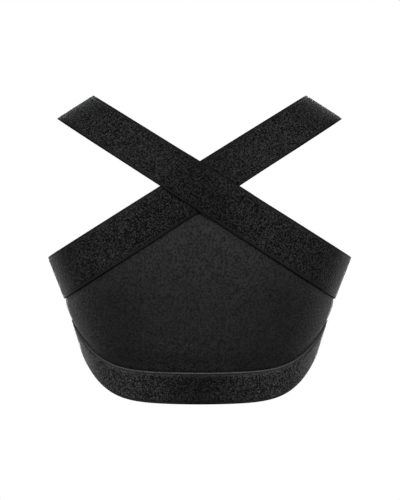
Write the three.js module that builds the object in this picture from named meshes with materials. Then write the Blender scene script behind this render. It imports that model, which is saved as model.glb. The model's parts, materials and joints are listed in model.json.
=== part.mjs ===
// Posture corrector: a sleeveless elastic vest whose two wide straps cross on the back.
// Millimetres, +Z up. The back faces -Y and +X is the wearer's right.
// The origin is the seat on the shoulders: midway between the undersides of the two straps.

import * as THREE from 'three';

// Lengths below the seat on the shoulders
const BACK_LENGTH = 315.1;
const SIDE_LENGTH = 259.6;
const FRONT_LENGTH = 267.6;
const CROSSING_DROP = 85.6;

// The body that the vest is worn on
const CHEST_WIDTH = 316;
const BACK_DEPTH = 104;
const FRONT_DEPTH = 106;
const SQUARENESS = 2.6;
const SHOULDER_SPAN = 263.3;
const SHOULDER_SLOPE = 32.6;
const SHOULDER_ROUNDNESS = 2.2;
const LEAN_START = 150.6;

// Straps and hem band
const STRAP_WIDTH = 45.3;
const STRAP_WIDTH_SHOULDER = 41.5;
const STRAP_WIDTH_SIDE = 47;
const SIDE_FALL = 32.4;
const STRAP_THICKNESS = 1.4;
const BAND_HEIGHT = 33.5;
const HEM_BOW = 0.12;
const BAND_THICKNESS = 1.4;
const STEP_MARGIN = 7;
const STEP_RAMP = 14;

// Panels, closure and fits
const PANEL_THICKNESS = 1.2;
const PANEL_FULLNESS = 1.4;
const FULLNESS_REACH = 9;
const PANEL_UNDER_STRAP = 12;
const PANEL_UNDER_BAND = 8;
const SEAM_FORWARD = 17;
const CLOSURE_WIDTH = 46;
const CLOSURE_THICKNESS = 1.4;
const CLOSURE_MARGIN = 6;
const FRONT_GAP = 3;
const LAYER_GAP = 0.4;

// Horizontal sections of the body, as shares of BACK_LENGTH, of half the CHEST_WIDTH,
// of BACK_DEPTH and of FRONT_DEPTH
const SECTIONS = [
  { level: 0.0, width: 1.4, back: 0.98, front: 0.94 },
  { level: 0.271, width: 1.19, back: 1.0, front: 0.98 },
  { level: 0.508, width: 1.008, back: 1.0, front: 1.0 },
  { level: 0.65, width: 0.898, back: 0.98, front: 1.0 },
  { level: 0.824, width: 0.783, back: 0.92, front: 0.91 },
  { level: 1.0, width: 0.694, back: 0.83, front: 0.82 },
];

// The rows of a panel between the hem band and the straps, as shares of the way up
const PANEL_ROWS = [0, 0.08, 0.2, 0.5, 0.8, 0.92, 1];

// How finely the cloth is divided
const COLUMNS = 15;
const SHOULDER_STEPS = 18;
const STRAP_ROWS = 4;
const BAND_ROWS = 3;
const CLOSURE_STEPS = 16;
const SOLVER_STEPS = 40;

const RIGHT_ANGLE = 90;
const STRAIGHT = 180;
const UNDER_STRAP = PANEL_THICKNESS + LAYER_GAP;
const STRAP_STEP = STRAP_THICKNESS + LAYER_GAP;

const { sin, cos, tan, atan2, abs, sign, min, max } = Math;
const radians = THREE.MathUtils.degToRad;
const degrees = THREE.MathUtils.radToDeg;
const { lerp, smoothstep } = THREE.MathUtils;

// A column of the section table at a height, joined smoothly from row to row
function sectionValue(column, z) {
  const level = THREE.MathUtils.clamp(-z / BACK_LENGTH, 0, 1);
  const below = SECTIONS.findIndex((section) => section.level >= level);
  const i = max(0, below - 1);
  const slopeAt = (k) => {
    const a = SECTIONS[max(0, k - 1)];
    const b = SECTIONS[min(SECTIONS.length - 1, k + 1)];
    return (b[column] - a[column]) / (b.level - a.level);
  };
  const step = SECTIONS[i + 1].level - SECTIONS[i].level;
  const t = (level - SECTIONS[i].level) / step;
  const rise = SECTIONS[i + 1][column] - SECTIONS[i][column];
  const start = slopeAt(i) * step;
  const end = slopeAt(i + 1) * step;
  const bend = 3 * rise - 2 * start - end;
  const twist = start + end - 2 * rise;
  return SECTIONS[i][column] + t * (start + t * (bend + t * twist));
}

function halfWidth(z) {
  return sectionValue('width', z) * CHEST_WIDTH / 2;
}

// The line along the top of the shoulders, where a strap turns from the back to the front
function ridgeHeight(x) {
  return -UNDER_STRAP - tan(radians(SHOULDER_SLOPE)) * (abs(x) - SHOULDER_SPAN / 2);
}

// The other share of a rounded square's edge point
function roundShare(share, power) {
  return max(0, 1 - min(1, abs(share)) ** power) ** (1 / power);
}

// A point of the body's surface, seen from behind at (x, z), on its back or its front
function bodyPoint(x, z, front) {
  const reach = front ? FRONT_DEPTH * sectionValue('front', z) : BACK_DEPTH * sectionValue('back', z);
  const rise = max(0, z + LEAN_START) / (ridgeHeight(x) + LEAN_START);
  const depth = reach * roundShare(x / halfWidth(z), SQUARENESS) * roundShare(rise, SHOULDER_ROUNDNESS);
  return new THREE.Vector3(x, front ? depth : -depth, z);
}

// How far out a direction meets the section, as a share of its half width.
// The angle is measured from the middle of the back, so it is 90 at a side.
function widthShare(angle) {
  const flat = 2 * BACK_DEPTH / CHEST_WIDTH;
  const across = flat * abs(sin(radians(angle)));
  const along = abs(cos(radians(angle)));
  const size = (across ** SQUARENESS + along ** SQUARENESS) ** (1 / SQUARENESS);
  return sign(angle) * across / size;
}

function isFront(angle) {
  return abs(angle) > RIGHT_ANGLE;
}

// The height at which an upright column of the body meets a line z = height(x)
function columnMeets(angle, height) {
  const share = widthShare(angle);
  let low = -BACK_LENGTH;
  let high = 0;
  for (let i = 0; i < SOLVER_STEPS; i += 1) {
    const z = (low + high) / 2;
    if (z < height(share * halfWidth(z))) {
      low = z;
    } else {
      high = z;
    }
  }
  return (low + high) / 2;
}

function columnPoint(angle, z) {
  return bodyPoint(widthShare(angle) * halfWidth(z), z, isFront(angle));
}

// A closed sheet of cloth over a grid of surface points, from one height above the surface to another
function clothGeometry(grid, liftAt, thickness) {
  const columns = grid.length;
  const rows = grid[0].length;
  const positions = [];
  const indices = [];
  const normalAt = (i, j) => {
    const along = grid[min(columns - 1, i + 1)][j].clone().sub(grid[max(0, i - 1)][j]);
    const across = grid[i][min(rows - 1, j + 1)].clone().sub(grid[i][max(0, j - 1)]);
    return along.cross(across).normalize();
  };
  for (let layer = 0; layer < 2; layer += 1) {
    for (let i = 0; i < columns; i += 1) {
      for (let j = 0; j < rows; j += 1) {
        const height = liftAt(grid[i][j]) + layer * thickness;
        const p = grid[i][j].clone().addScaledVector(normalAt(i, j), height);
        positions.push(p.x, p.y, p.z);
      }
    }
  }
  const index = (layer, i, j) => (layer * columns + i) * rows + j;
  const quad = (a, b, c, d) => indices.push(a, b, c, a, c, d);
  for (let i = 0; i < columns - 1; i += 1) {
    for (let j = 0; j < rows - 1; j += 1) {
      quad(index(1, i, j), index(1, i + 1, j), index(1, i + 1, j + 1), index(1, i, j + 1));
      quad(index(0, i, j), index(0, i, j + 1), index(0, i + 1, j + 1), index(0, i + 1, j));
    }
    quad(index(0, i, 0), index(0, i + 1, 0), index(1, i + 1, 0), index(1, i, 0));
    const top = rows - 1;
    quad(index(1, i, top), index(1, i + 1, top), index(0, i + 1, top), index(0, i, top));
  }
  for (let j = 0; j < rows - 1; j += 1) {
    quad(index(0, 0, j + 1), index(0, 0, j), index(1, 0, j), index(1, 0, j + 1));
    const end = columns - 1;
    quad(index(0, end, j), index(0, end, j + 1), index(1, end, j + 1), index(1, end, j));
  }
  const geometry = new THREE.BufferGeometry();
  geometry.setAttribute('position', new THREE.Float32BufferAttribute(positions, 3));
  geometry.setIndex(indices);
  geometry.computeVertexNormals();
  return geometry;
}

const part = new THREE.Group();

function addPiece(name, geometry, material) {
  const mesh = new THREE.Mesh(geometry, material);
  mesh.name = name;
  part.add(mesh);
}

const elastic = new THREE.MeshStandardMaterial({ color: 0x1b1b1c, roughness: 0.85, metalness: 0 });
const knit = new THREE.MeshStandardMaterial({ color: 0x212123, roughness: 0.8, metalness: 0 });
const tape = new THREE.MeshStandardMaterial({ color: 0x161617, roughness: 0.9, metalness: 0 });

// A strap's lean is 1 where it falls towards +X across the back, and -1 for its mirror image.
// Distances along a strap are measured in X from the crossing, below 0 towards its shoulder.
const shoulderFall = (CROSSING_DROP - UNDER_STRAP) / (SHOULDER_SPAN / 2);
const sideFall = tan(radians(SIDE_FALL));

function strapCentre(along) {
  return -CROSSING_DROP - (along < 0 ? shoulderFall : sideFall) * along;
}

function strapWidth(along) {
  const reach = along < 0 ? SHOULDER_SPAN / 2 : CHEST_WIDTH / 2;
  return lerp(STRAP_WIDTH, along < 0 ? STRAP_WIDTH_SHOULDER : STRAP_WIDTH_SIDE, min(1, abs(along) / reach));
}

// The height of a strap's row at a distance along X, where edge is 1 at the upper edge and -1 at the lower
function strapRow(along, edge, front) {
  const fall = along < 0 ? shoulderFall : sideFall;
  const width = front && along < 0 ? STRAP_WIDTH_SHOULDER : strapWidth(along);
  return strapCentre(along) + edge * width / 2 * (1 + fall * fall) ** 0.5;
}

// Where a strap's row meets the top of the shoulder
function ridgeMeets(edge, front) {
  let near = 0;
  let far = SHOULDER_SPAN;
  for (let i = 0; i < SOLVER_STEPS; i += 1) {
    const along = (near + far) / 2;
    if (strapRow(-along, edge, front) < ridgeHeight(along)) {
      near = along;
    } else {
      far = along;
    }
  }
  return -(near + far) / 2;
}

const frontGapAngle = degrees(atan2(FRONT_GAP / 2, FRONT_DEPTH));
const columnAngle = RIGHT_ANGLE / COLUMNS;

function rowEdges(count) {
  return Array.from({ length: count + 1 }, (_, j) => 1 - 2 * j / count);
}

// The stations of a strap, from its front end over the shoulder, across the back and round the side
function strapGrid(lean) {
  const edges = rowEdges(STRAP_ROWS);
  const grid = [];
  const shoulderStation = (turn, front) => edges.map((edge) => {
    const share = max(sin(radians(turn)), front ? FRONT_GAP / SHOULDER_SPAN : 0);
    const along = share * ridgeMeets(edge, front);
    return bodyPoint(lean * along, strapRow(along, edge, front), front);
  });
  const sideStation = (angle) => edges.map((edge) => {
    const z = columnMeets(angle, (x) => strapRow(x, edge, isFront(angle)));
    const p = columnPoint(angle, z);
    p.x *= lean;
    return p;
  });
  for (let k = 0; k < SHOULDER_STEPS; k += 1) {
    grid.push(shoulderStation(RIGHT_ANGLE * k / SHOULDER_STEPS, true));
  }
  for (let k = SHOULDER_STEPS; k > 0; k -= 1) {
    grid.push(shoulderStation(RIGHT_ANGLE * k / SHOULDER_STEPS, false));
  }
  for (let k = 0; k < 2 * COLUMNS; k += 1) {
    grid.push(sideStation(columnAngle * k));
  }
  grid.push(sideStation(STRAIGHT - frontGapAngle));
  return lean < 0 ? grid : grid.map((station) => station.reverse());
}

// How far a point lies, seen from behind, from the middle of the strap with a given lean
function distanceFromStrap(p, lean) {
  const along = p.x * lean;
  const fall = along < 0 ? shoulderFall : sideFall;
  return abs(p.z - strapCentre(along)) / (1 + fall * fall) ** 0.5;
}

// The strap that lies on top steps over the other one where they cross
function stepOver(p) {
  const edge = strapWidth(0) / 2 + STEP_MARGIN;
  return STRAP_STEP * (1 - smoothstep(distanceFromStrap(p, -1), edge, edge + STEP_RAMP));
}

addPiece('cross_strap_under', clothGeometry(strapGrid(-1), () => UNDER_STRAP, STRAP_THICKNESS), elastic);
addPiece(
  'cross_strap_over',
  clothGeometry(strapGrid(1), (p) => UNDER_STRAP + stepOver(p), STRAP_THICKNESS),
  elastic,
);

// The hem is lowest at the middle of the back and rises to the sides
function hemBelow(share, front) {
  const bow = HEM_BOW * share ** 2 * max(0, 1 - share ** 2);
  const fall = smoothstep(roundShare(share, SQUARENESS), 0, 1) - bow;
  return -lerp(SIDE_LENGTH, front ? FRONT_LENGTH : BACK_LENGTH, fall);
}

function hemHeight(angle) {
  return hemBelow(widthShare(angle), isFront(angle));
}

function bandTop(angle) {
  return hemHeight(angle) + BAND_HEIGHT;
}

function strapEdge(angle) {
  return columnMeets(angle, (x) => strapRow(abs(x), -1, isFront(angle)));
}

function uprightGrid(angles, heightsAt) {
  return angles.map((angle) => heightsAt(angle).map((z) => columnPoint(angle, z)));
}

// A panel reaches from under the hem band to under the straps
function panelHeights(angle) {
  const low = bandTop(angle);
  const high = strapEdge(angle);
  const between = PANEL_ROWS.map((share) => lerp(low, high, share));
  return [low - PANEL_UNDER_BAND, ...between, high + PANEL_UNDER_STRAP];
}

// A panel swells a little between the straps and the band that hold it
function panelLift(p) {
  const front = p.y > 0;
  const belowStrap = strapRow(abs(p.x), -1, front) - p.z;
  const aboveBand = p.z - hemBelow(p.x / halfWidth(p.z), front) - BAND_HEIGHT;
  return PANEL_FULLNESS * smoothstep(min(belowStrap, aboveBand), 0, FULLNESS_REACH);
}

// Column angles from one angle to another, with the whole steps between them
function columnAngles(from, to) {
  const angles = [from];
  for (let k = -2 * COLUMNS; k <= 2 * COLUMNS; k += 1) {
    const angle = k * columnAngle;
    if (angle > from + columnAngle / 4 && angle < to - columnAngle / 4) {
      angles.push(angle);
    }
  }
  angles.push(to);
  return angles;
}

const seamAngle = RIGHT_ANGLE + degrees(atan2(SEAM_FORWARD, CHEST_WIDTH / 2));
const seamGapAngle = degrees(atan2(LAYER_GAP / 2, CHEST_WIDTH / 2 * sectionValue('width', -SIDE_LENGTH)));
const frontEdge = STRAIGHT - frontGapAngle;

function addPanel(name, from, to) {
  const grid = uprightGrid(columnAngles(from, to), panelHeights);
  addPiece(name, clothGeometry(grid, panelLift, PANEL_THICKNESS), knit);
}

addPanel('back_panel', -seamAngle + seamGapAngle, seamAngle - seamGapAngle);
addPanel('front_panel_right', seamAngle + seamGapAngle, frontEdge);
addPanel('front_panel_left', -frontEdge, -seamAngle - seamGapAngle);

function bandHeights(angle) {
  const low = hemHeight(angle);
  const high = bandTop(angle);
  return Array.from({ length: BAND_ROWS + 1 }, (_, j) => lerp(low, high, j / BAND_ROWS));
}

const bandGrid = uprightGrid(columnAngles(-frontEdge, frontEdge), bandHeights);
addPiece('hem_band', clothGeometry(bandGrid, () => UNDER_STRAP, BAND_THICKNESS), elastic);

// The closure lies over the straps' ends, the panels' edges and the band's ends at the middle of the front
const closureTop = strapRow(0, 1, true) - CLOSURE_MARGIN;
const closureBottom = -FRONT_LENGTH + CLOSURE_MARGIN / 2;

function closureBase(p) {
  const overPanels = UNDER_STRAP + PANEL_FULLNESS;
  const overStraps = UNDER_STRAP + STRAP_STEP + STRAP_STEP;
  const overBand = UNDER_STRAP + BAND_THICKNESS + LAYER_GAP;
  const strapEnd = strapRow(CLOSURE_WIDTH / 2, -1, true) - CLOSURE_MARGIN;
  const bandStart = -FRONT_LENGTH + BAND_HEIGHT + CLOSURE_MARGIN;
  const nearStraps = smoothstep(p.z, strapEnd - STEP_RAMP, strapEnd);
  const nearBand = 1 - smoothstep(p.z, bandStart, bandStart + STEP_RAMP);
  return max(lerp(overPanels, overStraps, nearStraps), lerp(overPanels, overBand, nearBand));
}

const closureGrid = rowEdges(STRAP_ROWS).map((side) => {
  return Array.from({ length: CLOSURE_STEPS + 1 }, (_, j) => {
    return bodyPoint(side * CLOSURE_WIDTH / 2, lerp(closureBottom, closureTop, j / CLOSURE_STEPS), true);
  });
});
addPiece('front_closure', clothGeometry(closureGrid, closureBase, CLOSURE_THICKNESS), tape);

export default part;
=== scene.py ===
"""Posture corrector: the cloth, the seams and the studio stage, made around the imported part.

Everything is in metres in the part's own frame: +Z up, the back faces -Y, +X is the wearer's right.
"""

import json
import math

import bpy
import numpy as np
from bpy.props import FloatProperty, FloatVectorProperty, PointerProperty
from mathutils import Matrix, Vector

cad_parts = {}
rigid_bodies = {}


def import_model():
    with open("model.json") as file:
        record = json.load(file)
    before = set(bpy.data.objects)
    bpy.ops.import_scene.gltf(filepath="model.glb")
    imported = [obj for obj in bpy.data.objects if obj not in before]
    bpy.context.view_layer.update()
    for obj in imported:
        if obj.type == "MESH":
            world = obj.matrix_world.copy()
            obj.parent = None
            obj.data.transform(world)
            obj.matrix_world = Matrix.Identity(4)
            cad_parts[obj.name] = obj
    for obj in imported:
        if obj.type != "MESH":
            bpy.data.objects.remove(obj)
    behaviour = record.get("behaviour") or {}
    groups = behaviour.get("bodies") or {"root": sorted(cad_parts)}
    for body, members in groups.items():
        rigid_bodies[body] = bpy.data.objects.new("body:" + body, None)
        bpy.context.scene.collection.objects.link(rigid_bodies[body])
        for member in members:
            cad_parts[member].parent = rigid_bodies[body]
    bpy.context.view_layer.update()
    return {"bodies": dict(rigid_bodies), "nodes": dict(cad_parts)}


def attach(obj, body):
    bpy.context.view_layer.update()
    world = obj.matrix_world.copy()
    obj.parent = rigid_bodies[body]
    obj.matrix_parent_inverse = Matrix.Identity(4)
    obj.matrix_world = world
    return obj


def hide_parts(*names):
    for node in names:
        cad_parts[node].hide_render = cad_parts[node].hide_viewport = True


bl_info = {
    "name": "Posture corrector",
    "version": (1, 0, 0),
    "blender": (4, 5, 0),
    "location": "3D View > Sidebar > Posture corrector",
    "description": "Makes the cloth, the seams and the studio stage of a posture corrector as it is worn",
    "category": "Object",
}

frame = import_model()
BODY = next(iter(frame["bodies"]))

# The worn form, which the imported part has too

BACK_LENGTH = 0.3151
SIDE_LENGTH = 0.2596
FRONT_LENGTH = 0.2676
CROSSING_DROP = 0.0856

CHEST_WIDTH = 0.316
BACK_DEPTH = 0.104
FRONT_DEPTH = 0.106
SQUARENESS = 2.6
SHOULDER_SPAN = 0.2633
SHOULDER_SLOPE = math.radians(32.6)
SHOULDER_ROUNDNESS = 2.2
LEAN_START = 0.1506

STRAP_WIDTH = 0.0453
STRAP_WIDTH_SHOULDER = 0.0415
STRAP_WIDTH_SIDE = 0.047
SIDE_FALL = math.radians(32.4)
BAND_HEIGHT = 0.0335
HEM_BOW = 0.12
STEP_MARGIN = 0.007
STEP_RAMP = 0.014

FULLNESS_REACH = 0.009
PANEL_UNDER_STRAP = 0.012
PANEL_UNDER_BAND = 0.008
SEAM_FORWARD = 0.017
CLOSURE_WIDTH = 0.046
CLOSURE_MARGIN = 0.006
FRONT_GAP = 0.003
LAYER_GAP = 0.0004
UNDER_STRAP = 0.0016
STRAP_STEP = 0.0018

# Horizontal sections of the body: level below the shoulders as a share of BACK_LENGTH,
# then shares of half the CHEST_WIDTH, of BACK_DEPTH and of FRONT_DEPTH
SECTIONS = np.array(
    [
        (0.0, 1.4, 0.98, 0.94),
        (0.271, 1.19, 1.0, 0.98),
        (0.508, 1.008, 1.0, 1.0),
        (0.65, 0.898, 0.98, 1.0),
        (0.824, 0.783, 0.92, 0.91),
        (1.0, 0.694, 0.83, 0.82),
    ]
)
WIDTH, BACK, FRONT = 1, 2, 3

# Painted shade in the elastic's colour: how dark it is made at the middle of the back or on the
# shoulders, as a share of its full shade, and how far from there the shade takes to be full. The
# middle of the back and the tops of the shoulders are darkened as shade, the sides left bright as lit
STRAP_PAINTED_SHADE = (0.52, 0.066)
SHOULDER_PAINTED_SHADE = (0.25, 0.014)
BAND_PAINTED_SHADE = (0.2, 0.085)

# Painted light: how much paler the hem band's elastic is made than the straps', which with its painted
# shade at the middle of the back leaves the band's sides bright as if lit
BAND_PAINTED_LIGHT = 2.1

# How finely the cloth is divided
TURN_STEPS = 72
PANEL_ROWS = 36
ANGLE_STEP = 1.5
SOLVER_STEPS = 40

# Places across a piece, measured from each edge towards the middle
CREASE_OFFSETS = (0.0, 0.0004, 0.0008, 0.0012, 0.0017, 0.0023, 0.003, 0.0042, 0.006)
EDGE_OFFSETS = (
    0.0, 0.0001, 0.0003, 0.0007, 0.0012, 0.0018,
    0.0024, 0.0028, 0.0032, 0.0036, 0.0041, 0.0048, 0.006,
)
EDGE_ANGLES = (0.08, 0.25)
UNDER_BAND_SHARES = np.array([1, 0.98, 0.9, 0.5])
UNDER_STRAP_SHARES = np.array([0.3, 0.65, 0.92, 0.985, 1])
STRAP_PLACES = 0.0028
BAND_PLACES = 0.0026
CLOSURE_PLACES = 0.003

# The woven trims and the small relief of the cloth, measured from an edge
ROUNDING = 1e-6
EDGING = EDGE_OFFSETS[4]
WELT_WIDTH = EDGE_OFFSETS[5]
PILE_EDGE = (0.0026, 0.0042)
GROOVE_WIDTH = 0.0004
GROOVE_DEPTH = 0.00015
WELT_INSET = 0.0009
WELT_SPREAD = 0.0006
BAND_TAPER = (0.001, 0.005)
CREASE_REACH = (0.0003, 0.0026)

# The stitches: how far they lie from an edge, how deep they sink in, as a share of the thread,
# how far they are turned from their line, and the sizes that aren't among the settings
STITCH_INSET = 0.0031
CLOSURE_STITCH_INSET = 0.003
SEAM_RAISE = 0.0005
STRAP_SINK = 0.45
OTHER_SINK = 0.3
WELT_TURN = math.radians(68)
SEAM_TURN = math.radians(90)
SEAM_ZIGZAG = math.radians(24)
SEAM_STITCH_LENGTH = 0.0036
WELT_THREAD_SHARE = 1.3
STITCH_SEED = 11

FULL_TURN = 2 * math.pi

# The cloth's patterns: sizes of their repeats and patches, where a plain edge turns into pile,
# and the sheen and the threads' colours, dark and light
WORN_PATCH = 0.025
RIB_WIDTH = 0.0009
PLAIN_TO_PILE = (0.0022, 0.0036)
EDGE_FUZZ = 0.0009
EDGE_PICK = 0.0011
CLOUD_SIZE = 0.014
TAPE_FUZZ = 0.0016
TAPE_EDGE = (0.0028, 0.0036)
HOOK_ROW = 0.0017
HOOK_COLUMN = 0.0021
TWILL_WIDTH = 0.0011
FIBRE_SIZE = 0.0004
THREAD_PATCH = 0.006
PAPER_MOTTLE = 0.35
SHEEN_ROUGHNESS = 0.3
SHEEN_TINT = (0.9, 0.92, 0.95)
BLACK_THREAD = ((0.002,) * 3, (0.007,) * 3)
# The welt's grey overlock colour, made pale enough to paint the highlight along the hem band's top edge too
WELT_THREAD_AND_HIGHLIGHT = ((0.015,) * 3, (0.054,) * 3)

# The stage: the level that the soft lights are aimed at, then where each of them stands, on the
# right where there are two, and its width and height
LIT_LEVEL = -0.15
KEY_PLACE, KEY_SIZE = (0, -2.4, 1.7), (1.0, 0.7)
FAR_PLACE, FAR_SIZE = (0, 2.6, LIT_LEVEL), (1.4, 1.0)
FRONT_PLACE, SIDE_PLACE, TALL_SIZE = (1.8, -1.5, 0.5), (2.0, -0.3, 0.4), (0.7, 1.6)

# Where the room turns bright beyond the part and dim towards its ceiling, and where the camera looks
BEYOND = (-0.1, 0.6)
CEILING = (0.0, 0.4)
VIEW_LEVEL = -0.1522
VIEW_SIDEWAYS = 0.0004
WHITE = (1.0, 1.0, 1.0, 1.0)


# The surface of the body that the vest is worn on


def section_value(column, z):
    """A column of the section table at a height, joined smoothly from row to row."""
    levels, values = SECTIONS[:, 0], SECTIONS[:, column]
    level = np.clip(-z / BACK_LENGTH, 0, 1)
    i = np.clip(np.searchsorted(levels, level) - 1, 0, len(levels) - 2)
    last = len(levels) - 1
    before = np.clip(np.arange(len(levels)) - 1, 0, last)
    after = np.clip(np.arange(len(levels)) + 1, 0, last)
    slopes = (values[after] - values[before]) / (levels[after] - levels[before])
    step = levels[i + 1] - levels[i]
    t = (level - levels[i]) / step
    rise = values[i + 1] - values[i]
    start, end = slopes[i] * step, slopes[i + 1] * step
    return values[i] + t * (start + t * (3 * rise - 2 * start - end + t * (start + end - 2 * rise)))


def half_width(z):
    return section_value(WIDTH, z) * CHEST_WIDTH / 2


def ridge_height(x):
    """The line along the top of the shoulders, where a strap turns from the back to the front."""
    return -UNDER_STRAP - math.tan(SHOULDER_SLOPE) * (np.abs(x) - SHOULDER_SPAN / 2)


def round_share(share, power):
    return np.maximum(0, 1 - np.minimum(1, np.abs(share)) ** power) ** (1 / power)


def body_point(x, z, front):
    """Points of the body seen from behind at (x, z), on its back or its front."""
    reach = np.where(front, FRONT_DEPTH * section_value(FRONT, z), BACK_DEPTH * section_value(BACK, z))
    rise = np.maximum(0, z + LEAN_START) / (ridge_height(x) + LEAN_START)
    depth = reach * round_share(x / half_width(z), SQUARENESS) * round_share(rise, SHOULDER_ROUNDNESS)
    return np.stack(np.broadcast_arrays(x, np.where(front, depth, -depth), z), axis=-1)


def width_share(angle):
    """How far out a direction meets a section. The angle is 0 at the middle of the back and 90 at a side."""
    across = 2 * BACK_DEPTH / CHEST_WIDTH * np.abs(np.sin(np.radians(angle)))
    along = np.abs(np.cos(np.radians(angle)))
    return np.sign(angle) * across / (across**SQUARENESS + along**SQUARENESS) ** (1 / SQUARENESS)


def is_front(angle):
    return np.abs(angle) > 90


def column_meets(angle, height):
    """The height at which an upright column of the body meets the line z = height(x)."""
    share = width_share(angle)
    low = np.full_like(share, -BACK_LENGTH)
    high = np.zeros_like(share)
    for _ in range(SOLVER_STEPS):
        z = (low + high) / 2
        under = z < height(share * half_width(z))
        low, high = np.where(under, z, low), np.where(under, high, z)
    return (low + high) / 2


def column_point(angle, z):
    return body_point(width_share(angle) * half_width(z), z, is_front(angle))


def smooth_step(value, start, end):
    t = np.clip((value - start) / (end - start), 0, 1)
    return t * t * (3 - 2 * t)


# The lines of the straps, the band and the panels on that surface

SHOULDER_FALL = (CROSSING_DROP - UNDER_STRAP) / (SHOULDER_SPAN / 2)


def strap_fall(along):
    return np.where(along < 0, SHOULDER_FALL, math.tan(SIDE_FALL))


def strap_centre(along):
    return -CROSSING_DROP - strap_fall(along) * along


def strap_width(along):
    reach = np.where(along < 0, SHOULDER_SPAN / 2, CHEST_WIDTH / 2)
    far = np.where(along < 0, STRAP_WIDTH_SHOULDER, STRAP_WIDTH_SIDE)
    return STRAP_WIDTH + (far - STRAP_WIDTH) * np.minimum(1, np.abs(along) / reach)


def strap_row(along, edge, front):
    """The height of a strap's row, where edge is 1 at the upper edge and -1 at the lower."""
    width = np.where(front & (along < 0), STRAP_WIDTH_SHOULDER, strap_width(along))
    return strap_centre(along) + edge * width / 2 * np.sqrt(1 + strap_fall(along) ** 2)


def ridge_meets(edge, front):
    near, far = np.zeros_like(edge), np.full_like(edge, SHOULDER_SPAN)
    for _ in range(SOLVER_STEPS):
        along = (near + far) / 2
        under = strap_row(-along, edge, front) < ridge_height(along)
        near, far = np.where(under, along, near), np.where(under, far, along)
    return -(near + far) / 2


FRONT_GAP_ANGLE = math.degrees(math.atan2(FRONT_GAP / 2, FRONT_DEPTH))
FRONT_EDGE = 180 - FRONT_GAP_ANGLE
SEAM_ANGLE = 90 + math.degrees(math.atan2(SEAM_FORWARD, CHEST_WIDTH / 2))
SEAM_GAP_ANGLE = math.degrees(math.atan2(LAYER_GAP / 2, half_width(-SIDE_LENGTH)))


def places_between_edges(width, middle_step):
    """Places across a piece from one edge to the other: close together near the edges, wide apart between."""
    inner = width / 2 - EDGE_OFFSETS[-1]
    middle = np.linspace(-inner, inner, max(2, round(2 * inner / middle_step) + 1))
    low = np.array(EDGE_OFFSETS[:-1]) - width / 2
    return np.concatenate([low, middle, -low[::-1]])


def strap_grid(lean):
    """Points of a strap from its front end over the shoulder, across the back and round the side."""
    edges = -places_between_edges(STRAP_WIDTH, STRAP_PLACES) / (STRAP_WIDTH / 2)
    turns = np.linspace(0, 90, TURN_STEPS + 1)

    def shoulder(turn, front):
        share = np.maximum(np.sin(np.radians(turn)), FRONT_GAP / SHOULDER_SPAN if front else 0)
        along = share[:, None] * ridge_meets(edges, np.full(edges.shape, front))[None, :]
        return body_point(lean * along, strap_row(along, edges[None, :], np.full(along.shape, front)), front)

    angles = np.concatenate([np.arange(0, 180 - ANGLE_STEP / 2, ANGLE_STEP), [FRONT_EDGE]])
    around, edge = np.meshgrid(angles, edges, indexing="ij")
    side = column_point(around, column_meets(around, lambda x: strap_row(x, edge, is_front(around))))
    side[..., 0] *= lean
    grid = np.concatenate([shoulder(turns[:-1], True), shoulder(turns[:0:-1], False), side])
    return grid if lean < 0 else grid[:, ::-1]


def distance_from_strap(points, lean):
    along = points[..., 0] * lean
    return np.abs(points[..., 2] - strap_centre(along)) / np.sqrt(1 + strap_fall(along) ** 2)


def step_over(points):
    """The strap that lies on top steps over the other one where they cross."""
    edge = STRAP_WIDTH / 2 + STEP_MARGIN
    return STRAP_STEP * (1 - smooth_step(distance_from_strap(points, -1), edge, edge + STEP_RAMP))


def hem_below(share, front):
    bow = HEM_BOW * share**2 * np.maximum(0, 1 - share**2)
    fall = smooth_step(round_share(share, SQUARENESS), 0, 1) - bow
    return -(SIDE_LENGTH + (np.where(front, FRONT_LENGTH, BACK_LENGTH) - SIDE_LENGTH) * fall)


def hem_height(angle):
    return hem_below(width_share(angle), is_front(angle))


def strap_edge(angle):
    return column_meets(angle, lambda x: strap_row(np.abs(x), -1.0, is_front(angle)))


def angles_between(start, end):
    """Angles from start to end in even steps, with two narrow ones at each end for the rounded edge."""
    count = max(2, round((end - start) / ANGLE_STEP))
    even = np.linspace(start, end, count + 1)
    near = np.array([0, *EDGE_ANGLES])
    return np.concatenate([start + near, even[1:-1], end - near[::-1]])


def panel_grid(start, end):
    """Points of a panel, from under the hem band to under the straps."""
    angles = angles_between(start, end)
    low = hem_height(angles) + BAND_HEIGHT
    high = strap_edge(angles)
    near = np.array(CREASE_OFFSETS)[None, :] * np.minimum(1, (high - low) / (3 * CREASE_OFFSETS[-1]))[:, None]
    start, end = low + near[:, -1], high - near[:, -1]
    middle = start[:, None] + (end - start)[:, None] * np.linspace(0, 1, PANEL_ROWS)[None, 1:-1]
    between = np.concatenate([low[:, None] + near, middle, high[:, None] - near[:, ::-1]], axis=1)
    under_band = low[:, None] - PANEL_UNDER_BAND * UNDER_BAND_SHARES[None, :]
    under_strap = high[:, None] + PANEL_UNDER_STRAP * UNDER_STRAP_SHARES[None, :]
    heights = np.concatenate([under_band, between, under_strap], axis=1)
    return column_point(np.broadcast_to(angles[:, None], heights.shape), heights)


def band_grid():
    angles = angles_between(-FRONT_EDGE, FRONT_EDGE)
    up = places_between_edges(BAND_HEIGHT, BAND_PLACES) + BAND_HEIGHT / 2
    heights = hem_height(angles)[:, None] + up[None, :]
    return column_point(np.broadcast_to(angles[:, None], heights.shape), heights)


def closure_grid():
    sides = -places_between_edges(CLOSURE_WIDTH, BAND_PLACES)
    low = -FRONT_LENGTH + CLOSURE_MARGIN / 2
    high = float(strap_row(np.float64(0), 1.0, np.True_)) - CLOSURE_MARGIN
    up = places_between_edges(high - low, CLOSURE_PLACES) + (high + low) / 2
    x, z = np.meshgrid(sides, up, indexing="ij")
    return body_point(x, z, np.True_)


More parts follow.
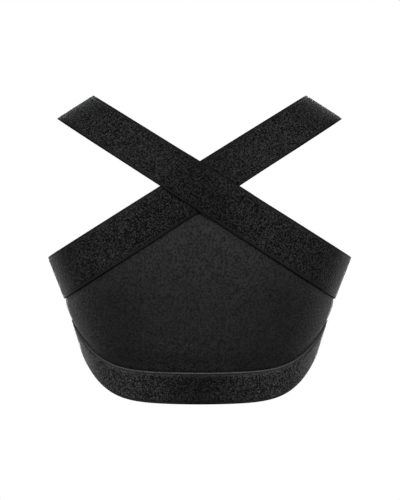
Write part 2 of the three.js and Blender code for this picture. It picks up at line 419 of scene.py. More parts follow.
def closure_base(points, fullness, band_thickness):
    """How high the closure lies over the straps' ends, the panels' edges and the band's ends."""
    z = points[..., 2]
    over_panels = UNDER_STRAP + fullness
    over_straps = UNDER_STRAP + 2 * STRAP_STEP
    over_band = UNDER_STRAP + band_thickness + LAYER_GAP
    strap_end = float(strap_row(np.float64(CLOSURE_WIDTH / 2), -1.0, np.True_)) - CLOSURE_MARGIN
    band_start = -FRONT_LENGTH + BAND_HEIGHT + CLOSURE_MARGIN
    near_straps = smooth_step(z, strap_end - STEP_RAMP, strap_end)
    near_band = 1 - smooth_step(z, band_start, band_start + STEP_RAMP)
    return np.maximum(
        over_panels + (over_straps - over_panels) * near_straps,
        over_panels + (over_band - over_panels) * near_band,
    )


# Cloth pieces


def placed(name, data):
    """An object of a mesh, a light or a camera, in the scene."""
    made = bpy.data.objects.new(name, data)
    bpy.context.scene.collection.objects.link(made)
    return made


def lengths_along(grid, axis):
    steps = np.linalg.norm(np.diff(grid, axis=axis), axis=2)
    start = np.zeros_like(np.take(steps, [0], axis=axis))
    return np.concatenate([start, np.cumsum(steps, axis=axis)], axis=axis)


def steps_through(grid, axis):
    """From the point before each point of a grid to the point after it."""
    last = grid.shape[axis] - 1
    place = np.arange(last + 1)
    after = np.take(grid, np.minimum(place + 1, last), axis=axis)
    return after - np.take(grid, np.maximum(place - 1, 0), axis=axis)


def outward(grid):
    """The direction that the cloth faces at each point of a grid."""
    normals = np.cross(steps_through(grid, 0), steps_through(grid, 1))
    return normals / np.linalg.norm(normals, axis=2, keepdims=True)


class Cloth:
    """A closed sheet of cloth over a grid of surface points, with rounded edges."""

    def __init__(self, grid, lift, thickness, relief=None):
        self.grid = grid
        self.normals = outward(grid)
        self.along = lengths_along(grid, 0)
        self.across = lengths_along(grid, 1)
        self.from_start = self.across
        self.from_end = self.across[:, -1:] - self.across
        self.from_side = np.minimum(self.from_start, self.from_end)
        ends = np.minimum(self.along, self.along[-1:] - self.along)
        self.from_edge = np.minimum(self.from_side, ends)
        body = np.broadcast_to(np.asarray(thickness, float), grid.shape[:2]).copy()
        if relief is not None:
            body += relief(self)
        roundness = np.sqrt(1 - (1 - np.minimum(1, self.from_edge / (body / 2))) ** 2)
        middle = np.asarray(lift) + body / 2
        self.outer = grid + self.normals * (middle + body / 2 * roundness)[..., None]
        self.inner = grid + self.normals * (middle - body / 2 * roundness)[..., None]

    def make(self, name, material, weave, trims=()):
        """The mesh object. weave holds each point's place across and along the cloth, and from its edge.

        Each trim is the material of a stretch along an edge: the material, each point's distance
        from that edge, and how far the trim reaches.
        """
        columns, rows = self.grid.shape[:2]
        outer = np.arange(columns * rows).reshape(columns, rows)
        inner = outer.copy()
        inside = (columns - 2) * (rows - 2)
        inner[1:-1, 1:-1] = columns * rows + np.arange(inside).reshape(columns - 2, rows - 2)
        points = np.concatenate([self.outer.reshape(-1, 3), self.inner[1:-1, 1:-1].reshape(-1, 3)])
        marks = np.concatenate([weave.reshape(-1, 3), weave[1:-1, 1:-1].reshape(-1, 3)])

        def quads(index, order):
            corners = (index[:-1, :-1], index[1:, :-1], index[1:, 1:], index[:-1, 1:])
            return np.stack([corners[k].ravel() for k in order], axis=1)

        faces = np.concatenate([quads(outer, (0, 1, 2, 3)), quads(inner, (0, 3, 2, 1))])
        mesh = bpy.data.meshes.new(name)
        mesh.from_pydata(points.tolist(), [], faces.tolist())
        mesh.attributes.new("weave", "FLOAT_VECTOR", "POINT").data.foreach_set(
            "vector", marks.astype(np.float32).ravel()
        )
        mesh.shade_smooth()
        mesh.materials.append(material)
        used = np.zeros(len(faces), np.int32)
        for slot, (trim, distance, reach) in enumerate(trims, start=1):
            mesh.materials.append(trim)
            from_edge = np.concatenate([distance.ravel(), distance[1:-1, 1:-1].ravel()])
            used[from_edge[faces].max(axis=1) <= reach + ROUNDING] = slot
        mesh.polygons.foreach_set("material_index", used)
        return placed(name, mesh)

    def line(self, offset, side, first=0, last=None):
        """Points and outward directions of a line along the cloth, at a distance from a long edge."""
        distance = self.from_start if side == "start" else self.from_end
        points, directions = [], []
        for column in range(first, len(self.grid) if last is None else last):
            order = np.argsort(distance[column])
            at = distance[column][order]
            points.append([np.interp(offset, at, self.outer[column][order, k]) for k in range(3)])
            directions.append(self.normals[column][np.argmin(np.abs(distance[column] - offset))])
        return np.array(points), np.array(directions)


def strap_weave(cloth):
    middle = cloth.across[:, -1:] / 2
    return np.stack([cloth.across - middle, cloth.along, cloth.from_side], axis=-1)


def upright_weave(cloth, from_edge):
    """Across runs round the body from the middle of the back or front, along runs up."""
    flat = cloth.grid * np.array([1, 1, 0])
    round_body = lengths_along(flat, 0)
    middle = np.argmin(np.abs(cloth.grid[:, 0, 0]))
    return np.stack([round_body - round_body[middle][None, :], cloth.grid[..., 2], from_edge], axis=-1)


# Shader maths and materials


class Value:
    """What a node puts out. A number goes on as Python arithmetic, which adds its Math nodes."""

    def __init__(self, bench, socket):
        self.bench = bench
        self.socket = socket

    def _math(self, operation, *numbers):
        inputs = dict(enumerate(numbers))
        return self.bench.node("ShaderNodeMath", {"operation": operation}, inputs).out(0)

    def __add__(self, other):
        return self._math("ADD", self, other)

    __radd__ = __add__

    def __sub__(self, other):
        return self._math("SUBTRACT", self, other)

    def __rsub__(self, other):
        return self._math("SUBTRACT", other, self)

    def __mul__(self, other):
        return self._math("MULTIPLY", self, other)

    __rmul__ = __mul__

    def __truediv__(self, other):
        return self._math("DIVIDE", self, other)

    def __mod__(self, other):
        return self._math("MODULO", self, other)

    def __pow__(self, other):
        return self._math("POWER", self, other)

    def __abs__(self):
        return self._math("ABSOLUTE", self)

    def cosine(self):
        return self._math("COSINE", self)

    def fraction(self):
        return self._math("FRACT", self)

    def at_least(self, other):
        return self._math("MAXIMUM", self, other)

    def at_most(self, other):
        return self._math("MINIMUM", self, other)


class Made:
    """A node on the bench, whose outputs are read by name or place."""

    def __init__(self, bench, node):
        self.bench = bench
        self.node = node

    def out(self, key):
        return Value(self.bench, self.node.outputs[key])


class Bench:
    """The node tree of a modifier, or of a material or the world as its owner."""

    def __init__(self, tree, owner=None):
        self.tree = tree
        self.owner = owner
        tree.nodes.clear()

    @classmethod
    def of(cls, owner):
        owner.use_nodes = True
        return cls(owner.node_tree, owner)

    def node(self, kind, settings, inputs):
        node = self.tree.nodes.new(kind)
        for key, setting in settings.items():
            setattr(node, key, setting)
        for key, value in inputs.items():
            if isinstance(value, Value):
                self.tree.links.new(value.socket, node.inputs[key])
            else:
                node.inputs[key].default_value = value
        return Made(self, node)

    def place(self):
        return self.node("ShaderNodeTexCoord", {}, {}).out("Object")

    def weave(self):
        made = self.node("ShaderNodeAttribute", {"attribute_type": "GEOMETRY", "attribute_name": "weave"}, {})
        parts = self.node("ShaderNodeSeparateXYZ", {}, {"Vector": made.out("Vector")})
        return parts.out("X"), parts.out("Y"), parts.out("Z")

    def grain(self, place, size, detail=2.0, roughness=0.6):
        """Noise with grains of a size in metres, from 0 to 1."""
        inputs = {"Vector": place, "Scale": 1 / size, "Detail": detail, "Roughness": roughness}
        return self.node("ShaderNodeTexNoise", {}, inputs).out(0)

    def loops(self, place, size):
        """How near each place is to the tip of its loop, and a number of its own for each loop."""
        made = self.node("ShaderNodeTexVoronoi", {}, {"Vector": place, "Scale": 1 / size})
        own = self.node("ShaderNodeSeparateColor", {}, {"Color": made.out("Color")}).out("Red")
        return (1 - made.out("Distance") * 1.15).at_least(0), own

    def ramp(self, value, start, end, low=0.0, high=1.0, kind="SMOOTHSTEP"):
        inputs = {"Value": value, "From Min": start, "From Max": end, "To Min": low, "To Max": high}
        return self.node("ShaderNodeMapRange", {"interpolation_type": kind}, inputs).out("Result")

    def blend(self, factor, first, second):
        settings = {"data_type": "RGBA", "blend_type": "MIX"}
        return self.node("ShaderNodeMix", settings, {0: factor, 6: first, 7: second}).out(2)

    def bump(self, height, distance, strength=1.0):
        inputs = {"Strength": strength, "Distance": distance, "Height": height}
        return self.node("ShaderNodeBump", {}, inputs).out(0)

    def finish(self, **inputs):
        named = {key.replace("_", " "): value for key, value in inputs.items()}
        shader = self.node("ShaderNodeBsdfPrincipled", {}, named)
        self.node("ShaderNodeOutputMaterial", {}, {"Surface": shader.out(0)})
        return self.owner


def colour(rgb, strength=1.0):
    return tuple(strength * part for part in rgb) + (1.0,)


def material_named(name, make, *values):
    """The material of a name, made the first time that a piece asks for it."""
    return bpy.data.materials.get(name) or make(Bench.of(bpy.data.materials.new(name)), *values)


def plush_elastic(bench, finish, gloss, sheen, painted_shade, strength=1.0):
    """Elastic with a looped pile, each loop of its own shade, which is plain along its edges."""
    place = bench.place()
    across, _, from_edge = bench.weave()
    tip, own = bench.loops(place, finish.pile_size)
    tuft = bench.grain(place, finish.pile_size, 0.6)
    fuzz = bench.grain(place, finish.pile_size * 0.35)
    worn = bench.grain(place, WORN_PATCH)
    inside = bench.ramp(from_edge, *PLAIN_TO_PILE)
    rib = (across * (FULL_TURN / RIB_WIDTH)).cosine()
    speckle = (tuft - 0.5) * 2.5 + (tip * (own + 0.2) - 0.35) * 0.85 + (fuzz - 0.5) * 0.4
    speckle = speckle + (worn - 0.5) * 0.3 + 0.36
    plain = (fuzz - 0.5) * 0.8 + rib * 0.05 + 0.3
    # Painted shade: the colour darkens towards the middle of the back and over the tops of the shoulders
    at = bench.node("ShaderNodeSeparateXYZ", {}, {"Vector": place})
    from_spine = abs(at.out("X"))
    below_shoulder = (SHOULDER_SPAN / 2 - from_spine) * math.tan(SHOULDER_SLOPE) - at.out("Z")
    shoulder_shade = bench.ramp(below_shoulder, 0.0, SHOULDER_PAINTED_SHADE[1], SHOULDER_PAINTED_SHADE[0], 1.0)
    painted_shading = bench.ramp(from_spine, 0, painted_shade[1], painted_shade[0], 1.0, "LINEAR") * shoulder_shade
    shade = (speckle * inside + plain * (1 - inside)).at_least(0).at_most(1) * painted_shading
    relief = (tuft * 1.6 + tip * 0.5 + fuzz * 0.3) * inside + (fuzz * 0.4 + rib * 0.1) * (1 - inside)
    dark, light = colour(finish.elastic_dark, strength), colour(finish.elastic_light, strength)
    return bench.finish(
        Base_Color=bench.blend(shade, dark, light),
        Roughness=0.46 + 0.08 * shade,
        Specular_IOR_Level=gloss,
        Sheen_Weight=sheen,
        Sheen_Roughness=SHEEN_ROUGHNESS,
        Sheen_Tint=colour(SHEEN_TINT),
        Normal=bench.bump(relief, 0.0004, 0.8),
    )


def woven_edge_and_shadow(bench, finish):
    """The tight black woven edge along both edges of the elastic, darkened further as painted shadow along
    them.
    """
    place = bench.place()
    _, along, _ = bench.weave()
    fuzz = bench.grain(place, EDGE_FUZZ)
    pick = (along * (FULL_TURN / EDGE_PICK)).cosine() * 0.5 + 0.5
    shade = ((fuzz - 0.5) * 1.2 + pick * 0.4 + 0.2).at_least(0).at_most(1)
    return bench.finish(
        Base_Color=bench.blend(shade, colour(finish.edge_and_shadow_colour, 0.4), colour(finish.edge_and_shadow_colour)),
        Roughness=0.75 + 0.15 * fuzz,
        Specular_IOR_Level=0.1,
        Normal=bench.bump(pick * 0.6 + fuzz * 0.4, 0.0002, 0.6),
    )


def fine_knit(bench, finish):
    """Fine knit with upright rows of loops, smoother and more even than the elastic."""
    place = bench.place()
    across, along, _ = bench.weave()
    fuzz = bench.grain(place, finish.grain_size, 1.5, 0.5)
    cloudy = bench.grain(place, CLOUD_SIZE)
    wale = (across / finish.knit_width).fraction() * 2 - 1
    course = along / (finish.knit_width * 0.8) + abs(wale) * 0.5
    loop = (course * FULL_TURN).cosine() * 0.5 + 0.5
    column = 1 - abs(wale) ** 3
    shade = (fuzz - 0.5) * 3.4 + (cloudy - 0.5) * 0.6 + (loop * column - 0.35) * 0.25 + 0.5
    shade = shade.at_least(0).at_most(1)
    return bench.finish(
        Base_Color=bench.blend(shade, colour(finish.knit_dark), colour(finish.knit_light)),
        Roughness=(0.5 - (fuzz - 0.5) * 0.9).at_least(0.3).at_most(0.8),
        Specular_IOR_Level=finish.knit_gloss,
        Sheen_Weight=finish.knit_sheen,
        Sheen_Roughness=SHEEN_ROUGHNESS,
        Sheen_Tint=colour(SHEEN_TINT),
        Normal=bench.bump(column * 0.3 + loop * column * 0.3 + fuzz * 0.6, 0.0004, 0.7),
    )


def hook_tape(bench, finish):
    """Closure tape: rows of small hooks set close together, with a flat woven edge."""
    place = bench.place()
    across, along, from_edge = bench.weave()
    fuzz = bench.grain(place, TAPE_FUZZ)
    inside = bench.ramp(from_edge, *TAPE_EDGE)
    rows = (along * (FULL_TURN / HOOK_ROW)).cosine() * 0.5 + 0.5
    hooks = (across * (FULL_TURN / HOOK_COLUMN)).cosine() * 0.5 + 0.5
    twill = ((across + along) * (FULL_TURN / TWILL_WIDTH)).cosine() * 0.5 + 0.5
    relief = rows * hooks * inside + twill * 0.4 * (1 - inside)
    shade = (relief * 0.5 + (fuzz - 0.5) * 1.2 + 0.3).at_least(0).at_most(1)
    return bench.finish(
        Base_Color=bench.blend(shade, colour(finish.elastic_dark, 0.9), colour(finish.elastic_light, 0.7)),
        Roughness=0.6 + 0.2 * (1 - relief),
        Specular_IOR_Level=0.22,
        Sheen_Weight=0.1,
        Sheen_Roughness=0.5,
        Normal=bench.bump(relief + fuzz * 0.3, 0.0004, 0.7),
    )


def sewing_thread(bench, dark, light):
    """Twisted polyester thread."""
    place = bench.place()
    fibre = bench.grain(place, FIBRE_SIZE)
    patch = bench.grain(place, THREAD_PATCH, 1.0)
    shade = ((fibre - 0.5) * 1.6 + (patch - 0.5) * 0.6 + 0.5).at_least(0).at_most(1)
    return bench.finish(
        Base_Color=bench.blend(shade, colour(dark), colour(light)),
        Roughness=0.5 + 0.2 * fibre,
        Specular_IOR_Level=0.3,
        Sheen_Weight=0.1,
        Normal=bench.bump(fibre, 0.0001, 0.5),
    )


def studio_paper(bench, settings):
    """Pale paper over a light table."""
    mottle = bench.grain(bench.place(), PAPER_MOTTLE, 3.0)
    return bench.finish(
        Base_Color=bench.blend(mottle, colour(settings.backdrop, 0.985), colour(settings.backdrop)),
        Roughness=0.9 + 0.05 * mottle,
        Specular_IOR_Level=0.1,
        Emission_Color=WHITE,
        Emission_Strength=settings.floor_glow,
    )


# Stitches


def stitch_tree(material):
    """Lays stitches along the lines of a mesh, which carries the outward direction as the attribute up."""
    tree = bpy.data.node_groups.new("stitches_along_a_line", "GeometryNodeTree")
    sockets = tree.interface

    def number(name, default, low, high):
        socket = sockets.new_socket(name, in_out="INPUT", socket_type="NodeSocketFloat")
        socket.default_value, socket.min_value, socket.max_value = default, low, high

    sockets.new_socket("Lines", in_out="INPUT", socket_type="NodeSocketGeometry")
    number("Pitch", 0.003, 0.0005, 0.05)
    number("Length", 0.0024, 0.0002, 0.05)
    number("Thread", 0.0005, 0.0001, 0.005)
    number("Sink", 0.2, 0.0, 1.0)
    number("Turn", 0.0, -math.pi, math.pi)
    number("Zigzag", 0.0, -math.pi, math.pi)
    number("Unevenness", 0.05, 0.0, 1.0)
    sockets.new_socket("Stitches", in_out="OUTPUT", socket_type="NodeSocketGeometry")

    node = Bench(tree).node
    given = node("NodeGroupInput", {}, {})
    thread, unevenness = given.out("Thread"), given.out("Unevenness")
    curve = node("GeometryNodeMeshToCurve", {}, {"Mesh": given.out("Lines")}).out("Curve")
    pitch = {"Curve": curve, "Length": given.out("Pitch")}
    spaced = node("GeometryNodeResampleCurve", {"mode": "LENGTH"}, pitch).out("Curve")
    vector = {"data_type": "FLOAT_VECTOR"}
    up = node("GeometryNodeInputNamedAttribute", vector, {"Name": "up"}).out("Attribute")
    tangent = node("GeometryNodeInputTangent", {}, {}).out("Tangent")
    facing = node(
        "FunctionNodeAxesToRotation",
        {"primary_axis": "Z", "secondary_axis": "X"},
        {"Primary Axis": up, "Secondary Axis": tangent},
    ).out("Rotation")
    sign = (node("GeometryNodeInputIndex", {}, {}).out("Index") % 2) * 2 - 1
    spread = {2: unevenness * -1, 3: unevenness, "Seed": STITCH_SEED}
    uneven = node("FunctionNodeRandomValue", {"data_type": "FLOAT"}, spread).out(1)
    angle = given.out("Turn") + sign * given.out("Zigzag") + uneven
    swing = node("ShaderNodeCombineXYZ", {}, {"Z": angle}).out(0)
    turned = node(
        "FunctionNodeRotateRotation",
        {"rotation_space": "LOCAL"},
        {"Rotation": facing, "Rotate By": swing},
    ).out(0)
    bead = node("GeometryNodeMeshUVSphere", {}, {"Segments": 6, "Rings": 4, "Radius": 0.5}).out("Mesh")
    sunk = (0.5 - given.out("Sink")) * thread
    raise_by = node("ShaderNodeVectorMath", {"operation": "SCALE"}, {0: up, "Scale": sunk}).out(0)
    raised = node("GeometryNodeSetPosition", {}, {"Geometry": spaced, "Offset": raise_by}).out("Geometry")
    size = node("ShaderNodeCombineXYZ", {}, {"X": given.out("Length"), "Y": thread, "Z": thread}).out(0)
    laid = node(
        "GeometryNodeInstanceOnPoints",
        {},
        {"Points": raised, "Instance": bead, "Rotation": turned, "Scale": size},
    ).out("Instances")
    real = node("GeometryNodeRealizeInstances", {}, {0: laid}).out("Geometry")
    smooth = node("GeometryNodeSetShadeSmooth", {}, {"Geometry": real}).out("Geometry")
    coat = {"Geometry": smooth, "Material": material}
    coated = node("GeometryNodeSetMaterial", {}, coat).out("Geometry")
    node("NodeGroupOutput", {}, {"Stitches": coated})
    return tree


def sew(name, lines, material, **sizes):
    """A plain mesh of the stitches along some lines, each given as points and outward directions."""
    points = np.concatenate([line[0] for line in lines])
    directions = np.concatenate([line[1] for line in lines])
    edges, start = [], 0
    for line in lines:
        count = len(line[0])
        edges += [(start + k, start + k + 1) for k in range(count - 1)]
        start += count
    mesh = bpy.data.meshes.new(name + "_lines")
    mesh.from_pydata(points.tolist(), edges, [])
    mesh.attributes.new("up", "FLOAT_VECTOR", "POINT").data.foreach_set(
        "vector", directions.astype(np.float32).ravel()
    )
    path = placed(name + "_lines", mesh)
    tree = stitch_tree(material)
    modifier = path.modifiers.new("stitches", "NODES")
    modifier.node_group = tree
    sockets = {item.name: item.identifier for item in tree.interface.items_tree if item.in_out == "INPUT"}
    for key, value in sizes.items():
        modifier[sockets[key]] = value
    evaluated = path.evaluated_get(bpy.context.evaluated_depsgraph_get())
    result = bpy.data.meshes.new_from_object(evaluated, preserve_all_data_layers=False)
    if not result.polygons:
        raise RuntimeError(f"{name}: the stitches came out empty")
    path.modifiers.remove(modifier)
    bpy.data.objects.remove(path)
    bpy.data.meshes.remove(mesh)
    result.name = name
    if not result.materials:
        result.materials.append(material)
    return placed(name, result)


# Settings


def length_setting(name, description, default, low, high, precision=4):
    return FloatProperty(
        name=name,
        description=description,
        default=default,
        min=low,
        max=high,
        subtype="DISTANCE",
        precision=precision,
    )


def amount_setting(name, description, default, high):
    return FloatProperty(name=name, description=description, default=default, min=0, max=high)


def share_setting(name, description, default):
    return FloatProperty(name=name, description=description, default=default, min=0, max=1, subtype="FACTOR")


def colour_setting(name, description, default):
    return FloatVectorProperty(
        name=name, description=description, subtype="COLOR", default=default, min=0, max=1
    )


class ClothSizes(bpy.types.PropertyGroup):
    strap_thickness: length_setting(
        "Strap thickness", "Thickness of the two cross straps", 0.0014, 0.0008, 0.002
    )
    band_thickness: length_setting("Band thickness", "Thickness of the hem band", 0.0014, 0.0008, 0.002)
    panel_thickness: length_setting(
        "Panel thickness", "Thickness of the knitted panels", 0.0012, 0.0006, 0.0012
    )
    closure_thickness: length_setting(
        "Closure thickness", "Thickness of the front closure tape", 0.0014, 0.0008, 0.002
    )
    panel_fullness: length_setting(
        "Panel fullness",
        "How far the panels swell between the straps and the band that hold them",
        0.0014, 0.0, 0.0018,
    )
    crease: length_setting(
        "Crease depth",
        "How far the seams draw the panels in under the straps and the band",
        0.0005, 0.0, 0.0008,
    )
    plain_edge: length_setting(
        "Plain edge",
        "How much thinner the straps' plain woven edges are than their pile",
        0.0002, 0.0, 0.0006,
    )
    welt: length_setting(
        "Welt height", "How far the welt along the top of the hem band stands up", 0.0004, 0.0, 0.001
    )


class StitchSizes(bpy.types.PropertyGroup):
    strap_pitch: length_setting(
        "Strap stitch pitch", "Distance between the stitches along the straps", 0.0032, 0.0015, 0.006
    )
    strap_length: length_setting(
        "Strap stitch length", "Length of one stitch along the straps", 0.0026, 0.001, 0.005
    )
    welt_pitch: length_setting(
        "Welt stitch pitch",
        "Distance between the stitches over the welt of the hem band",
        0.0017, 0.001, 0.004,
    )
    welt_length: length_setting(
        "Welt stitch length", "Length of one stitch over the welt of the hem band", 0.0019, 0.001, 0.004
    )
    seam_pitch: length_setting(
        "Seam stitch pitch",
        "Distance between the zigzag stitches of the side seams",
        0.0016, 0.001, 0.004,
    )
    thread: length_setting(
        "Thread", "Thickness of the sewing thread", 0.00045, 0.0002, 0.001, precision=5
    )


class ClothFinish(bpy.types.PropertyGroup):
    elastic_dark: colour_setting(
        "Elastic shade", "Colour of the elastic between its loops", (0.0012, 0.0012, 0.0013)
    )
    elastic_light: colour_setting(
        "Elastic light", "Colour of the tips of the elastic's loops", (0.037, 0.037, 0.0375)
    )
    # Painted shadow: the woven edge gets this darker colour to paint the thin dark line along the elastic's
    # edges
    edge_and_shadow_colour: colour_setting(
        "Woven edge", "Colour of the tight woven edges of the elastic", (0.0012, 0.0012, 0.0013)
    )
    knit_dark: colour_setting(
        "Knit shade", "Colour of the knit between its loops", (0.0004, 0.0004, 0.0005)
    )
    knit_light: colour_setting("Knit light", "Colour of the knit's loops", (0.0138, 0.0138, 0.0141))
    pile_size: length_setting(
        "Pile size", "Size of one tuft of the elastic's pile", 0.0016, 0.0005, 0.01
    )
    grain_size: length_setting("Grain size", "Size of the knit's fuzz", 0.0021, 0.0005, 0.01)
    knit_width: length_setting(
        "Knit width", "Width of one row of the knit's loops", 0.0009, 0.0004, 0.003
    )
    elastic_gloss: share_setting("Elastic gloss", "Strength of the elastic's reflection", 0.04)
    elastic_sheen: share_setting(
        "Elastic sheen", "Strength of the pale sheen of the elastic's pile", 0.7
    )
    band_gloss: share_setting("Band gloss", "Strength of the hem band's reflection", 0.1)
    band_sheen: share_setting("Band sheen", "Strength of the pale sheen of the hem band", 0.75)
    knit_gloss: share_setting("Knit gloss", "Strength of the knit's reflection", 0.2)
    knit_sheen: share_setting("Knit sheen", "Strength of the knit's pale sheen", 0.28)
    thread_dark: colour_setting(
        "Grey thread shade", "Colour of the grey thread's hollows", (0.075, 0.075, 0.078)
    )
    thread_light: colour_setting(
        "Grey thread light", "Colour of the grey thread's strands", (0.17, 0.17, 0.175)
    )


class StageSettings(bpy.types.PropertyGroup):
    camera_distance: length_setting(
        "Camera distance", "How far behind the part the camera stands", 7.0, 1, 20, precision=2
    )
    view_height: length_setting(
        "View height",
        "Height of the part of the scene that the picture shows",
        0.535, 0.2, 2, precision=2,
    )
    floor_drop: length_setting(
        "Floor", "How far the floor lies below the shoulders", 0.55, 0.35, 2, precision=2
    )
    key_power: amount_setting("Key light", "Power of the large soft light above the camera", 36.0, 1000)
    front_power: amount_setting(
        "Front lights",
        "Power of each of the two soft lights to the left and right of the camera",
        33.0, 1000,
    )
    far_power: amount_setting(
        "Far light", "Power of the soft light beyond the part, which lights its front", 45.0, 1000
    )
    side_power: amount_setting(
        "Side lights", "Power of each of the two soft lights at the sides", 3.5, 1000
    )
    room_light: amount_setting("Room light", "Strength of the light that comes from all round", 0.018, 5)
    backdrop_light: amount_setting(
        "Backdrop light", "Strength of the light that comes from the backdrop", 0.7, 5
    )
    floor_glow: share_setting(
        "Floor glow", "How far the floor is lit from within, as a light table is", 0.85
    )
    backdrop: colour_setting("Backdrop", "Colour of the backdrop and the floor", (0.9, 0.9, 0.9))


# Pieces

MADE = {}


def dress(piece, node):
    """The piece rides on the vest's body and stands for a CAD node."""
    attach(piece, BODY)
    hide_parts(node)


def finish_of(context):
    return context.scene.vest_finish


class MakeStraps(bpy.types.Operator):
    """Make the two wide elastic straps that cross on the back and run round to the front"""

    bl_idname = "vest.make_straps"
    bl_label = "Cross straps"
    bl_options = {"REGISTER", "UNDO"}

    def execute(self, context):
        sizes = context.scene.vest_cloth
        finish = finish_of(context)
        pile = (finish.elastic_gloss, finish.elastic_sheen, STRAP_PAINTED_SHADE)
        elastic = material_named("black_plush_elastic", plush_elastic, finish, *pile)
        selvedge_and_shadow = material_named("black_woven_edge_and_shadow", woven_edge_and_shadow, finish)

        def woven_edges(cloth):
            pile = smooth_step(cloth.from_side, *PILE_EDGE)
            groove = np.exp(-(((cloth.from_side - STITCH_INSET) / GROOVE_WIDTH) ** 2))
            return -sizes.plain_edge * (1 - pile) - GROOVE_DEPTH * groove

        for name, lean in (("cross_strap_under", -1), ("cross_strap_over", 1)):
            grid = strap_grid(lean)
            lift = UNDER_STRAP + (step_over(grid) if lean > 0 else 0)
            cloth = Cloth(grid, lift, sizes.strap_thickness, woven_edges)
            trims = [(selvedge_and_shadow, cloth.from_edge, EDGING)]
            piece = cloth.make(name + "_cloth", elastic, strap_weave(cloth), trims)
            MADE[name] = cloth
            dress(piece, name)
        return {"FINISHED"}


class MakePanels(bpy.types.Operator):
    """Make the knitted back panel and the two front panels"""

    bl_idname = "vest.make_panels"
    bl_label = "Knitted panels"
    bl_options = {"REGISTER", "UNDO"}

    def execute(self, context):
        sizes = context.scene.vest_cloth
        knit = material_named("black_fine_knit", fine_knit, finish_of(context))
        panels = (
            ("back_panel", -SEAM_ANGLE + SEAM_GAP_ANGLE, SEAM_ANGLE - SEAM_GAP_ANGLE, (0.37, 0.19), 0.045),
            ("front_panel_right", SEAM_ANGLE + SEAM_GAP_ANGLE, FRONT_EDGE, (0.17, 0.16), 0.0155),
            ("front_panel_left", -FRONT_EDGE, -SEAM_ANGLE - SEAM_GAP_ANGLE, (0.17, 0.16), 0.0155),
        )
        for name, start, end, flat, area in panels:
            grid = panel_grid(start, end)
            front = grid[..., 1] > 0
            below_strap = strap_row(np.abs(grid[..., 0]), -1.0, front) - grid[..., 2]
            share = grid[..., 0] / half_width(grid[..., 2])
            above_band = grid[..., 2] - hem_below(share, front) - BAND_HEIGHT
            reach = FULLNESS_REACH * (1 + 2 * (1 - np.minimum(1, np.abs(share)) ** 4))
            swell = smooth_step(np.minimum(below_strap, above_band), 0, reach)
            drawn_in = 1 - smooth_step(above_band, *CREASE_REACH)
            thickness = sizes.panel_thickness - sizes.crease * drawn_in
            cloth = Cloth(grid, sizes.panel_fullness * swell, thickness)
            piece = cloth.make(name + "_cloth", knit, upright_weave(cloth, above_band))
            MADE[name] = cloth
            dress(piece, name)
        return {"FINISHED"}


class MakeHemBand(bpy.types.Operator):
    """Make the elastic band along the hem, with the welt along its top"""

    bl_idname = "vest.make_hem_band"
    bl_label = "Hem band"
    bl_options = {"REGISTER", "UNDO"}

    def execute(self, context):
        sizes = context.scene.vest_cloth
        finish = finish_of(context)
        pile = (finish.band_gloss, finish.band_sheen, BAND_PAINTED_SHADE, BAND_PAINTED_LIGHT)
        elastic = material_named("black_band_elastic", plush_elastic, finish, *pile)
        selvedge_and_shadow = material_named("black_woven_edge_and_shadow", woven_edge_and_shadow, finish)
        # The welt's grey is the overlock thread's and partly a painted highlight along the band's top edge
        overlock_and_highlight = material_named("grey_overlock_welt_and_highlight", sewing_thread, *WELT_THREAD_AND_HIGHLIGHT)

        def welt(cloth):
            ridge = np.exp(-(((cloth.from_end - WELT_INSET) / WELT_SPREAD) ** 2))
            return sizes.welt * ridge - sizes.crease * (1 - smooth_step(cloth.from_end, *BAND_TAPER))

        grid = band_grid()
        from_top = BAND_HEIGHT - lengths_along(grid, 1)
        lift = UNDER_STRAP - sizes.crease * (1 - smooth_step(from_top, *BAND_TAPER))
        cloth = Cloth(grid, lift, sizes.band_thickness, welt)
        weave = upright_weave(cloth, cloth.from_side)
        trims = [(selvedge_and_shadow, cloth.from_start, EDGING), (overlock_and_highlight, cloth.from_end, WELT_WIDTH)]
        piece = cloth.make("hem_band_cloth", elastic, weave, trims)
        MADE["hem_band"] = cloth
        dress(piece, "hem_band")
        return {"FINISHED"}


class MakeFrontClosure(bpy.types.Operator):
    """Make the strip of closure tape down the middle of the front"""

    bl_idname = "vest.make_front_closure"
    bl_label = "Front closure"
    bl_options = {"REGISTER", "UNDO"}

    def execute(self, context):
        sizes = context.scene.vest_cloth
        tape = material_named("black_closure_tape", hook_tape, finish_of(context))
        grid = closure_grid()
        lift = closure_base(grid, sizes.panel_fullness, sizes.band_thickness)
        cloth = Cloth(grid, lift, sizes.closure_thickness)
        weave = np.stack([grid[..., 0], grid[..., 2], cloth.from_edge], axis=-1)
        piece = cloth.make("front_closure_cloth", tape, weave)
        MADE["front_closure"] = cloth
        dress(piece, "front_closure")
        return {"FINISHED"}


